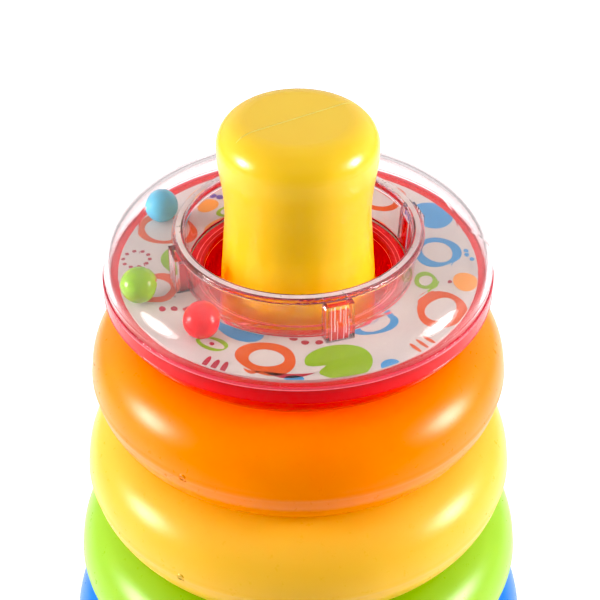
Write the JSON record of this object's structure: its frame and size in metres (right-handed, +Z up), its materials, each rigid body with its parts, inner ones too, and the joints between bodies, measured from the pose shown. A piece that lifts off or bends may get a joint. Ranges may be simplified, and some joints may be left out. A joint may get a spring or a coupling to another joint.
{
  "type": "stacking ring toy",
  "caption": "Baby's stacking toy: hollow rings that get smaller slide over a cone post on a rocker base, topped by a clear rattle ring with loose beads.",
  "frame": {"origin": "centre of the flat foot under the rocker base", "axes": "+Z up the post's axis, -Y towards the viewer, +X to the viewer's right"},
  "size_m": [0.14, 0.14, 0.2223],
  "materials": {
    "post_plastic": "glossy blow-moulded polyethylene",
    "blue_plastic": "glossy blow-moulded polyethylene",
    "green_plastic": "glossy blow-moulded polyethylene",
    "yellow_plastic": "glossy blow-moulded polyethylene",
    "orange_plastic": "glossy blow-moulded polyethylene",
    "clear_plastic": "polished clear styrene",
    "red_plastic": "polished translucent red styrene",
    "printed_label": "printed film, satin",
    "blue_bead_plastic": "glossy",
    "green_bead_plastic": "glossy",
    "red_bead_plastic": "glossy"
  },
  "bodies": {
    "post": {"post_base": "post_plastic"},
    "blue_ring": {"blue_ring": "blue_plastic"},
    "green_ring": {"green_ring": "green_plastic"},
    "yellow_ring": {"yellow_ring": "yellow_plastic"},
    "orange_ring": {"orange_ring": "orange_plastic"},
    "rattle_ring": {"clear_top_shell": "clear_plastic", "red_bottom_shell": "red_plastic", "printed_disc": "printed_label"},
    "blue_bead": {"blue_bead": "blue_bead_plastic"},
    "green_bead": {"green_bead": "green_bead_plastic"},
    "red_bead": {"red_bead": "red_bead_plastic"}
  },
  "joints": [
    {"name": "blue_ring_lift", "type": "slide", "parent": "post", "child": "blue_ring", "axis": [0, 0, 1], "range_m": [0, 0.2]},
    {"name": "green_ring_lift", "type": "slide", "parent": "blue_ring", "child": "green_ring", "axis": [0, 0, 1], "range_m": [0, 0.167]},
    {"name": "yellow_ring_lift", "type": "slide", "parent": "green_ring", "child": "yellow_ring", "axis": [0, 0, 1], "range_m": [0, 0.134]},
    {"name": "orange_ring_lift", "type": "slide", "parent": "yellow_ring", "child": "orange_ring", "axis": [0, 0, 1], "range_m": [0, 0.1]},
    {"name": "rattle_ring_lift", "type": "slide", "parent": "orange_ring", "child": "rattle_ring", "axis": [0, 0, 1], "range_m": [0, 0.067]},
    {"name": "blue_bead_roll", "type": "hinge", "parent": "rattle_ring", "child": "blue_bead", "pos_m": [0, 0, 0.1823], "axis": [0, 0, 1], "range_deg": [-265, 36]},
    {"name": "green_bead_roll", "type": "hinge", "parent": "rattle_ring", "child": "green_bead", "pos_m": [0, 0, 0.1823], "axis": [0, 0, 1], "range_deg": [-36, 16]},
    {"name": "red_bead_roll", "type": "hinge", "parent": "rattle_ring", "child": "red_bead", "pos_m": [0, 0, 0.1823], "axis": [0, 0, 1], "range_deg": [-16, 265]}
  ]
}
